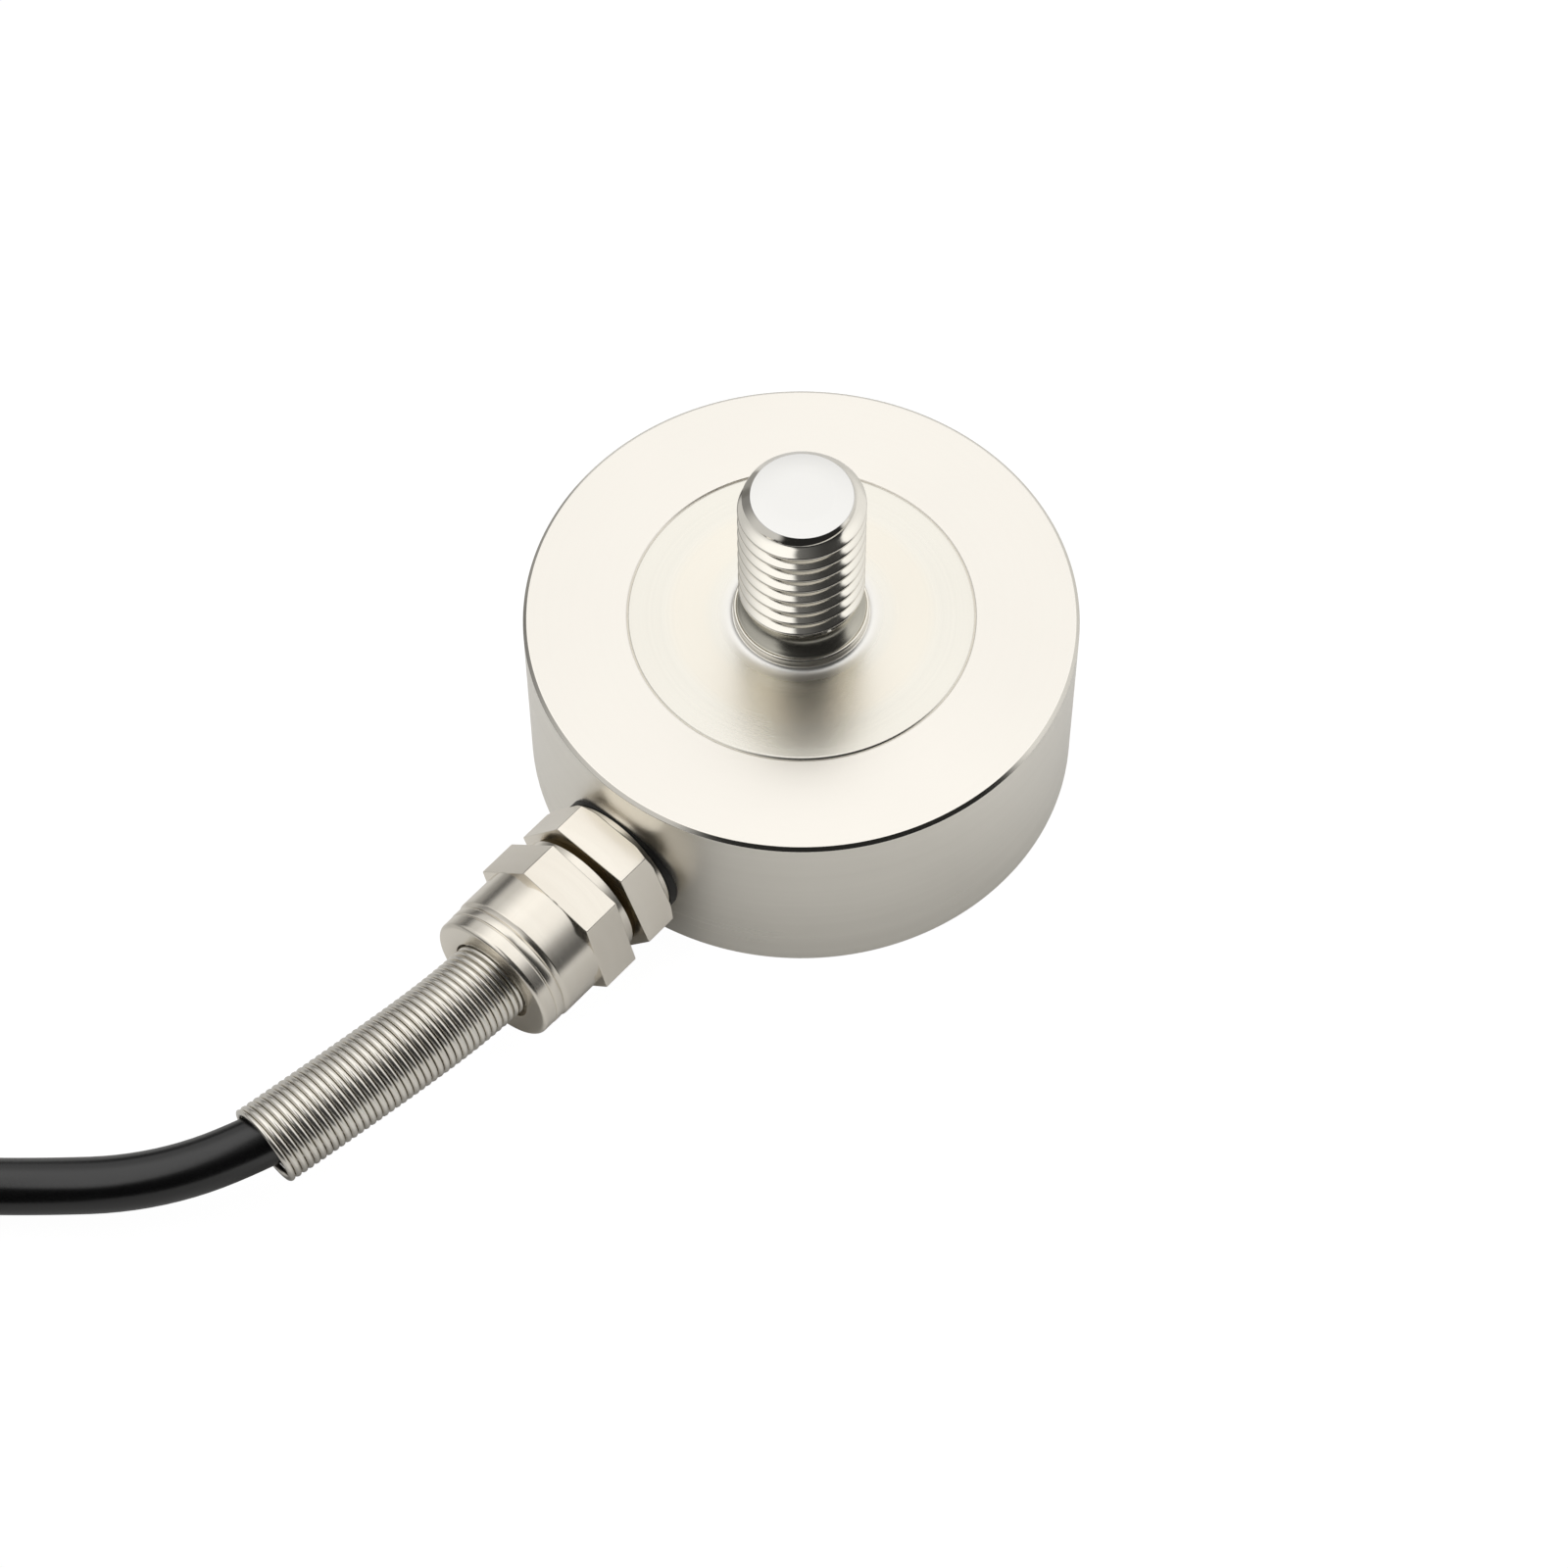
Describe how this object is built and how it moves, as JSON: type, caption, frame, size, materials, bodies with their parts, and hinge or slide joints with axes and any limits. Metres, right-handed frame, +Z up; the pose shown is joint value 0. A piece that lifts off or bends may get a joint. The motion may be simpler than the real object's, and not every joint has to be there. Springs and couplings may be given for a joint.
{
  "type": "weighing load cell",
  "caption": "Low round stainless-steel load cell with a central threaded stud, a side cable gland with a spring guard, and a black cable wound in a tied coil.",
  "frame": {"origin": "centre of the round base face, on the stud's axis", "axes": "+Z up along the stud, the cable gland points along -X"},
  "size_m": [0.1949, 0.0823, 0.039],
  "materials": {
    "turned_steel": "fine-turned bright stainless steel",
    "plate_steel": "polished stainless steel sheet",
    "cover_steel": "fine-turned stainless steel",
    "gauge_foil": "amber polyimide film",
    "copper": "enamelled copper wire",
    "pad": "soft adhesive pad",
    "board": "green board with solder mask",
    "solder": "bright solder",
    "chip": "black glazed chips",
    "core_red": "red insulation",
    "core_black": "black insulation",
    "core_green": "green insulation",
    "core_white": "white insulation",
    "seal_rubber": "black rubber",
    "clamp_plastic": "natural nylon",
    "nickel": "bright nickel plating on brass",
    "spring_steel": "bright spring wire",
    "jacket": "satin black cable jacket",
    "tie": "black nylon tie",
    "shrink": "black shrink sleeve",
    "tinned": "tinned copper strands"
  },
  "bodies": {
    "root": {"sensor_body": "turned_steel", "top_seal_plate": "plate_steel", "bottom_cover": "cover_steel", "strain_gauges": "gauge_foil", "gauge_leads": "copper", "board_pad": "pad", "terminal_board": "board", "solder_terminals": "solder", "trim_resistors": "chip", "wire_red": "core_red", "wire_black": "core_black", "wire_green": "core_green", "wire_white": "core_white", "gland_o_ring": "seal_rubber", "gland_washer": "nickel", "gland_body": "nickel", "gland_seal_insert": "seal_rubber", "gland_clamp_ring": "clamp_plastic", "gland_nut": "nickel", "spring_guard": "spring_steel", "cable_inner_end": "jacket", "cable_lead": "jacket", "cable_coil": "jacket", "cable_tie": "tie", "end_sleeve": "shrink", "lead_red": "core_red", "lead_black": "core_black", "lead_green": "core_green", "lead_white": "core_white", "lead_drain": "tinned", "lead_tips": "tinned"}
  },
  "joints": []
}
